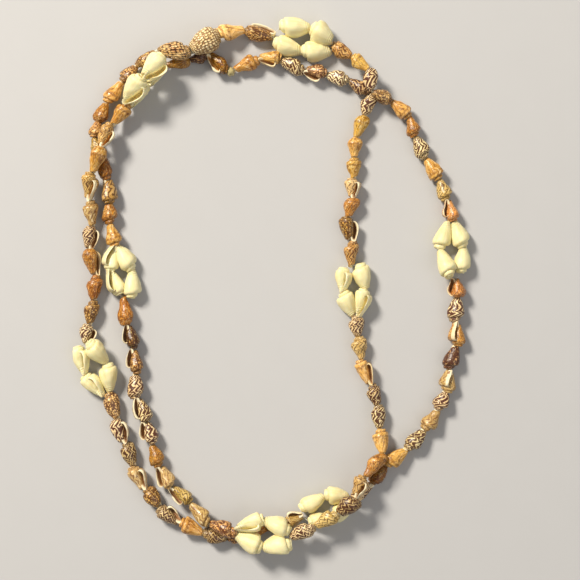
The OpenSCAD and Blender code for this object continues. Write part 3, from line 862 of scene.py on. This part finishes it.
def tintShell(tree, at, colour):
    # each shell is lighter or darker, redder or yellower than the next
    shift = tree.nodes.new("ShaderNodeHueSaturation")
    plug(tree, shift.inputs["Value"], timesPlus(tree, at["tone"], *brown["value"]))
    plug(tree, shift.inputs["Saturation"], timesPlus(tree, at["tone"], *brown["saturation"]))
    plug(tree, shift.inputs["Hue"], timesPlus(tree, at["size"], *brown["hue"]))
    plug(tree, shift.inputs["Color"], colour)
    return shift.outputs[0]


def drawMouth(tree, finish, at, colour):
    # the lip and the pillar are pale, to a ragged edge, and the throat is dark: unless the finish
    # has its own, a brown deepened with painted shade
    onPillar = smoothBetween(tree, at["across"], *brown["pillar"])
    lip = calc(tree, "MAXIMUM", at["lip"], onPillar)
    lip = timesPlus(tree, at["blotch"], brown["lipBlotch"], lip)
    lip = timesPlus(tree, minus(tree, at["size"], 1), brown["lipSize"], lip)
    lip = smoothBetween(tree, lip, *brown["lipEdge"])
    colour = mixColours(tree, lip, colour, finish.get("lip", brown["lipColour"]))
    throat = finish.get("throat", brown["throatBrownAndShade"])
    return mixColours(tree, at["inside"], colour, throat)


# The white shells: colours, and what lies in them
ivory = {
    "light": (0.86, 0.79, 0.46), "deep": (0.76, 0.64, 0.3), "lip": (0.88, 0.81, 0.52),
    # the groove colour is painted shade for the troughs between the folds
    # the throat's golden tint is painted shade in the hollow of the mouth
    "throat": (0.88, 0.75, 0.38), "foldShadeColour": (0.5, 0.4, 0.16),
    # clouds and growth streaks, their shares of the deep colour, and where it starts and ends
    "cloudScale": 2.5, "streaksPerTurn": 26, "streakShare": 0.6, "cloudShare": 0.7,
    "deepEdge": (0.5, 0.95), "seamWidth": 0.06, "seamStrength": 0.5,
    # sixteen folds across the narrow end, where they come in and go out, where the painted shade
    # in their troughs starts and ends and how strong it is, and how high
    "foldRate": 6.28 * 16, "foldEdges": [(0.62, 0.9), (1.25, 1.5)], "foldShadeEdges": (-0.2, -0.9),
    "foldShadeStrength": 0.55, "foldHeight": 0.6, "linesPerTurn": 45, "linesAcross": 2,
    "bump": 0.8, "bumpDepth": 0.18, "wearScale": 7, "roughness": (0.25, 0.34),
    "glow": 0.2, "glowColour": (1.0, 0.7, 0.4), "glowDepth": 1.2,
}


def ivoryMaterial():
    material, tree, surface = newMaterial("whiteShellIvory", ivory["light"])
    at = shellValues(tree, "growth", "across", "seed", "lip", "inside")
    shellPlane = unrolled(tree, at)
    cloud = noise(tree, shellPlane, ivory["cloudScale"], detail=4, roughness=0.55)
    along = times(tree, at["growth"], ivory["streaksPerTurn"])
    streak = noise(tree, plane(tree, along, at["across"], at["seed"]), 1, detail=3)
    share = timesPlus(tree, streak, ivory["streakShare"], times(tree, cloud, ivory["cloudShare"]))
    deep = smoothBetween(tree, share, *ivory["deepEdge"])
    colour = mixColours(tree, deep, ivory["light"], ivory["deep"])
    # a warmer seam where a whorl meets the one above it
    seam = minus(tree, 1, smoothBetween(tree, at["across"], 0, ivory["seamWidth"]))
    colour = paint(tree, colour, seam, ivory["seamStrength"], ivory["deep"])
    colour = mixColours(tree, at["lip"], colour, ivory["lip"])
    # the inside of the mouth takes a golden painted shade
    colour = mixColours(tree, at["inside"], colour, ivory["throat"])
    # folds that cross the mouth's narrow end, on the wall and on the pillar, with painted shade in
    # the troughs between them
    comeIn, goOut = (smoothBetween(tree, at["across"], *edge) for edge in ivory["foldEdges"])
    folds = calc(tree, "SINE", times(tree, at["across"], ivory["foldRate"]))
    folds = times(tree, folds, minus(tree, comeIn, goOut))
    # painted shade where the folds are lowest
    dark = smoothBetween(tree, folds, *ivory["foldShadeEdges"])
    colour = paint(tree, colour, dark, ivory["foldShadeStrength"], ivory["foldShadeColour"])
    tree.links.new(colour, surface.inputs["Base Color"])
    along = times(tree, at["growth"], ivory["linesPerTurn"])
    lines = plane(tree, along, times(tree, at["across"], ivory["linesAcross"]), 0)
    height = timesPlus(tree, folds, ivory["foldHeight"], noise(tree, lines, 1))
    addBump(tree, surface, height, ivory)
    wear = noise(tree, shellPlane, ivory["wearScale"], detail=3)
    plug(tree, surface.inputs["Roughness"], timesPlus(tree, wear, *ivory["roughness"]))
    surface.inputs["Subsurface Weight"].default_value = ivory["glow"]
    surface.inputs["Subsurface Radius"].default_value = ivory["glowColour"]
    surface.inputs["Subsurface Scale"].default_value = ivory["glowDepth"] * mm
    return material


def placeShell(master, name, start, finish, ends, narrowLeads, width, mouthTurn, values, spread=1):
    # a copy of a shell between two places of the loop, its mouth turned from straight up
    along = (finish - start).normalized()
    left = up.cross(along).normalized()
    mouth = cos(radians(mouthTurn)) * along.cross(left) + sin(radians(mouthTurn)) * left
    length = (finish - start).length
    axis = along if narrowLeads else -along
    side = axis.cross(mouth)
    place = Matrix((mouth * width / 2, side * width / 2, axis * length)).transposed().to_4x4()
    place.translation = start if narrowLeads else finish
    mesh = master.data.copy()
    mesh.transform(place)
    shell = bpy.data.objects.new(name, mesh)
    bpy.context.collection.objects.link(shell)
    # both ends lean to the planes between neighbours
    for vert in mesh.vertices:
        share = (vert.co - start).dot(along) / length
        off = vert.co - start - along * (share * length)
        vert.co += left * off.dot(left) * (spread - 1)
        lean = off.dot(ends[0]) / along.dot(ends[0]) * (1 - share) ** 2
        lean += off.dot(ends[1]) / along.dot(ends[1]) * share ** 2
        vert.co -= along * lean
    for key, value in values.items():
        layer = mesh.attributes.new(key, "FLOAT", "POINT")
        layer.data.foreach_set("value", [value] * len(mesh.vertices))
    return shell


def makeUneven(thing, swell):
    # worn dents and bulges, other ones for every shell since the texture stands still in space
    uneven = thing.modifiers.new("uneven", "DISPLACE")
    uneven.texture = clouds
    uneven.texture_coords = "LOCAL"
    uneven.strength = swell * mm
    uneven.mid_level = 0.5
    applyModifiers(thing)


def keepInside(thing):
    # nothing sinks into the floor or passes the solids' reach
    for vert in thing.data.vertices:
        for axis in (0, 1, 2):
            vert.co[axis] = min(max(vert.co[axis], cadBox[0][axis]), cadBox[1][axis])


def joinShells(shells, name):
    bpy.ops.object.select_all(action="DESELECT")
    for shell in shells:
        shell.select_set(True)
    bpy.context.view_layer.objects.active = shells[0]
    bpy.ops.object.join()
    shells[0].name = shells[0].data.name = name
    return shells[0]


def moveMap(shell, column, row, squares):
    # each shell of a run keeps its own square of the run's map
    margin = mapPlan["margin"]
    for loop in shell.data.uv_layers["OFBake"].data:
        along, high = (margin + (1 - 2 * margin) * place for place in loop.uv)
        loop.uv = ((column + along) / squares, (row + high) / squares)


def jointPlace(row):
    return Vector(row[:3]) * mm


def bendPlane(number):
    before, here, after = (joints[(number + step) % len(joints)] for step in (-1, 0, 1))
    return ((after - here).normalized() + (here - before).normalized()).normalized()


def seedOf(number):
    # golden steps, so that no two shells get the same noise
    return number * stringing["seedStep"] % 1 * stringing["seedSpan"]


stringing = {
    # millimetres from a joint back to the shell's end; below 0 the shell reaches past the joint
    "shellGap": -0.5, "forkGap": -1.1, "knotReach": -1.4, "whiteGap": -0.9, "endInset": -0.9,
    # a brown shell that shows its mouth is drawn broader than one that shows its back
    "mouthBreadth": 1.16, "backBreadth": 1.06, "mouthShows": 80,
    "seedStep": 0.618, "seedSpan": 7,
    # size of the dents, and their height on both kinds
    "dentSize": 3, "brownDents": 0.8, "whiteDents": 0.6,
}
joints = [jointPlace(row) for run in runs for row in run]
clouds = bpy.data.textures.new("wornSurface", "CLOUDS")
clouds.noise_scale = stringing["dentSize"] * mm
clouds.noise_depth = 1

print("growing the shells")
masters = {kind: growShell(kind + "Master", plan) for kind, plan in plans.items()}
brownMaterials = {
    key: brownMaterial("brownShell_" + key, finish) for key, finish in finishes.items()
}
whiteMaterial = ivoryMaterial()

print("stringing the brown shells")
number = 0
for runNumber, run in enumerate(runs):
    shells = []
    squares = 2 if len(run) <= 5 else 4          # to a side of the run's map
    for place, row in enumerate(run[:-1]):
        width, narrowLeads, mouthTurn, finishName, tone, *ownShape = row[3:]
        start, finish = joints[number], joints[number + 1]
        along = (finish - start).normalized()
        last = place == len(run) - 2
        backStart = stringing["forkGap"] if place == 0 else stringing["shellGap"] / 2
        backFinish = stringing["forkGap"] if last else stringing["shellGap"] / 2
        if runNumber == 0 and place == 0:
            backStart = stringing["knotReach"]
        if runNumber == len(runs) - 1 and last:
            backFinish = stringing["knotReach"]
        shapes = finishes[finishName]["shapes"]
        shape = ownShape[0] if ownShape else shapes[number % len(shapes)]
        showsMouth = abs(mouthTurn) < stringing["mouthShows"]
        width *= stringing["mouthBreadth" if showsMouth else "backBreadth"]
        shell = placeShell(
            masters[shape], "brownShell",
            start + along * backStart * mm, finish - along * backFinish * mm,
            (bendPlane(number), bendPlane(number + 1)), narrowLeads > 0, width * mm, mouthTurn,
            {"seed": seedOf(number), "tone": tone},
        )
        shell.data.materials.append(brownMaterials[finishName])
        moveMap(shell, place % squares, place // squares, squares)
        shells.append(shell)
        number += 1
    number += 1
    string = joinShells(shells, "brownShells_run_%d" % (runNumber + 1))
    makeUneven(string, stringing["brownDents"])
    keepInside(string)
    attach(string, "root")
    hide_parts("brown_shells_a" if runNumber < 4 else "brown_shells_b")

print("placing the white shells")
for rosetteNumber, (leftLine, rightLine, widths, mouths, spreads) in enumerate(rosettes, 1):
    for shellNumber in range(4):
        line = leftLine if shellNumber < 2 else rightLine
        inner, outer = stringing["whiteGap"] / 2, stringing["endInset"]
        start, finish = (jointPlace(p) for p in line[shellNumber % 2:shellNumber % 2 + 2])
        along = (finish - start).normalized()
        backStart, backFinish = (outer, inner) if shellNumber % 2 == 0 else (inner, outer)
        shape = "whiteCone" if (rosetteNumber, shellNumber + 1) in sharpShells else "whiteRound"
        shape += "Wide" if (rosetteNumber, shellNumber + 1) in wideShells else ""
        shell = placeShell(
            masters[shape], "whiteShell_%d_%d" % (rosetteNumber, shellNumber + 1),
            start + along * backStart * mm, finish - along * backFinish * mm, (along, along),
            rosetteNumber not in spireLeads, widths[shellNumber] * mm, mouths[shellNumber],
            {"seed": seedOf(rosetteNumber * 4 + shellNumber)}, spreads[shellNumber],
        )
        shell.data.materials.append(whiteMaterial)
        makeUneven(shell, stringing["whiteDents"])
        keepInside(shell)
        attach(shell, "root")
        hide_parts("rosette_%d_shell_%d" % (rosetteNumber, shellNumber + 1))

for master in masters.values():
    bpy.data.objects.remove(master)

# The clear lines keep their solids' shape. The knot is wound tight and set in a drop of glue.
nylon = {
    "colour": (0.88, 0.88, 0.84), "dull": (0.74, 0.72, 0.64), "clear": 0.5, "ior": 1.53,
    "cloudScale": 900, "dullEdge": (0.35, 0.75), "roughness": (0.2, 0.1),
}
knotPlan = {
    # millimetres, wound about its own axis and then turned towards the way of the lines
    "middle": (-20.1, 101.7, 3.6), "towards": (5, 1, 0), "line": 0.3, "coil": 1.2, "pitch": 0.7,
    "turns": 4, "stepsPerTurn": 12, "sides": 8, "tail": [(0.2, -0.8, 0.2), (0.5, -0.8, -0.1)],
    # the glue's first ring as radius and place on the axis, then radius, step along, sideways
    "glueStart": (0.5, -1.8), "glueSides": 16,
    "glueRings": [
        (1.2, 0.2, (0.1, 0.1)), (2.0, 0.45, (0.1, -0.2)), (2.3, 0.65, (-0.3, 0.1)),
        (1.9, 0.5, (0.3, 0.1)), (2.4, 0.65, (0.1, -0.3)), (2.2, 0.7, (-0.3, 0.0)),
        (1.5, 0.5, (-0.1, 0.1)), (0.6, 0.25, (0.0, 0.1)),
    ],
    "glue": (0.6, 0.5, 0.24), "glueDull": (0.42, 0.33, 0.13), "glueClear": 0.2, "dents": 0.5,
}


def nylonMaterial(name, colour, dull, clear):
    material, tree, surface = newMaterial(name, colour)
    place = tree.nodes.new("ShaderNodeTexCoord").outputs["Object"]
    cloud = noise(tree, place, nylon["cloudScale"], detail=3)
    share = smoothBetween(tree, cloud, *nylon["dullEdge"])
    tree.links.new(mixColours(tree, share, colour, dull), surface.inputs["Base Color"])
    surface.inputs["Transmission Weight"].default_value = clear
    surface.inputs["IOR"].default_value = nylon["ior"]
    plug(tree, surface.inputs["Roughness"], timesPlus(tree, cloud, *nylon["roughness"]))
    return material


def pourGlue(plan):
    # a drop that set unevenly over the turns
    radius, start = plan["glueStart"]
    glue = startCircle(
        "glue", vertices=plan["glueSides"], radius=radius, fill_type="NGON", location=(0, 0, start)
    )
    for nextRadius, step, sideways in plan["glueRings"]:
        bpy.ops.mesh.extrude_region_move(TRANSFORM_OT_translate={"value": (*sideways, step)})
        scaleAbout(middleOfSelected(glue), (nextRadius / radius, nextRadius / radius, 1))
        radius = nextRadius
    closeEditing()
    glue.data.materials.append(
        nylonMaterial("setGlue", plan["glue"], plan["glueDull"], plan["glueClear"])
    )
    return glue


def windKnot(name, plan):
    start = -plan["pitch"] * plan["turns"] / 2
    rise = (0, 0, plan["pitch"] / plan["stepsPerTurn"])
    coil = startCircle(
        name, vertices=plan["sides"], radius=plan["line"], fill_type="NGON",
        location=(plan["coil"], 0, start), rotation=(radians(90), 0, 0),
    )
    for step in range(plan["turns"] * plan["stepsPerTurn"]):
        bpy.ops.mesh.extrude_region_move(TRANSFORM_OT_translate={"value": rise})
        turnClockwise(360 / plan["stepsPerTurn"])
    for step in plan["tail"]:
        bpy.ops.mesh.extrude_region_move(TRANSFORM_OT_translate={"value": step})
    closeEditing()
    glue = pourGlue(plan)
    coil.data.materials.append(
        nylonMaterial("knotLine", nylon["colour"], nylon["dull"], nylon["clear"])
    )
    knot = joinShells([coil, glue], name)
    towards = Vector(plan["towards"]).normalized()
    turn = towards.to_track_quat("Z", "Y").to_matrix().to_4x4()
    turn.translation = Vector(plan["middle"])
    knot.data.transform(Matrix.Diagonal((mm, mm, mm, 1)) @ turn)
    addSmoothing(knot)
    makeUneven(knot, plan["dents"])
    bpy.ops.object.shade_smooth_by_angle(angle=smoothAngle)
    return knot


print("lines and knot")
lineMaterial = nylonMaterial("clearLine", nylon["colour"], nylon["dull"], nylon["clear"])
for nodeName in ("thread_left", "thread_right"):
    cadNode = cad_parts[nodeName]
    cadNode.data.materials.clear()
    cadNode.data.materials.append(lineMaterial)
knot = windKnot("knotWound", knotPlan)
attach(knot, "root")
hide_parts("knot")

print("floor, lights and camera")
stage = {
    "floorSize": 6.0, "floorColour": (0.5, 0.5, 0.51), "grainScale": 60, "grainDark": 0.97,
    "floorRoughness": 0.85, "sky": 0.28, "skyColour": (1.0, 0.97, 0.92, 1),
    # name, place, power in watts, size in metres, colour
    "lights": [
        ("key", (-1.0, 1.1, 1.4), 60.0, 0.44, (1.0, 0.93, 0.81)),
        ("fill", (1.2, -0.6, 1.6), 10.4, 1.8, (1.0, 0.97, 0.93)),
    ],
}
# The photo looks straight down, 580 pixels over 278.4 mm, a little right of the loop's middle.
# That width is measured 4 mm up, about where the shells' widest parts are.
view = {
    "middle": (8.64 * mm, -2.88 * mm), "height": 0.75, "across": 278.4 * mm, "level": 4 * mm,
    "sensor": 36, "clipStart": 0.01,
}
bpy.ops.object.select_all(action="DESELECT")
bpy.ops.mesh.primitive_plane_add(size=stage["floorSize"], location=(0, 0, 0))
floor = bpy.context.object
floor.name = "floor"
floorMaterial, tree, surface = newMaterial("paleFloor", stage["floorColour"])
floorPlace = tree.nodes.new("ShaderNodeTexCoord").outputs["Object"]
grain = noise(tree, floorPlace, stage["grainScale"], detail=3)
darker = [channel * stage["grainDark"] for channel in stage["floorColour"]]
tree.links.new(
    mixColours(tree, grain, stage["floorColour"], darker), surface.inputs["Base Color"]
)
surface.inputs["Roughness"].default_value = stage["floorRoughness"]
floor.data.materials.append(floorMaterial)

for lightName, place, power, size, colour in stage["lights"]:
    bpy.ops.object.light_add(type="AREA", location=place)
    light = bpy.context.object
    light.name = lightName
    light.rotation_euler = (-Vector(place)).to_track_quat("-Z", "Y").to_euler()
    light.data.energy = power
    light.data.size = size
    light.data.color = colour
world = bpy.data.worlds.new("studio")
bpy.context.scene.world = world
world.use_nodes = True
background = world.node_tree.nodes["Background"]
background.inputs["Color"].default_value = stage["skyColour"]
background.inputs["Strength"].default_value = stage["sky"]

bpy.ops.object.camera_add(
    location=(*view["middle"], view["height"] + view["level"]), rotation=(0, 0, 0)
)
camera = bpy.context.object
camera.data.sensor_width = view["sensor"]
camera.data.lens = view["sensor"] * view["height"] / view["across"]
camera.data.clip_start = view["clipStart"]
bpy.context.scene.camera = camera
bpy.context.scene.view_settings.view_transform = "Standard"
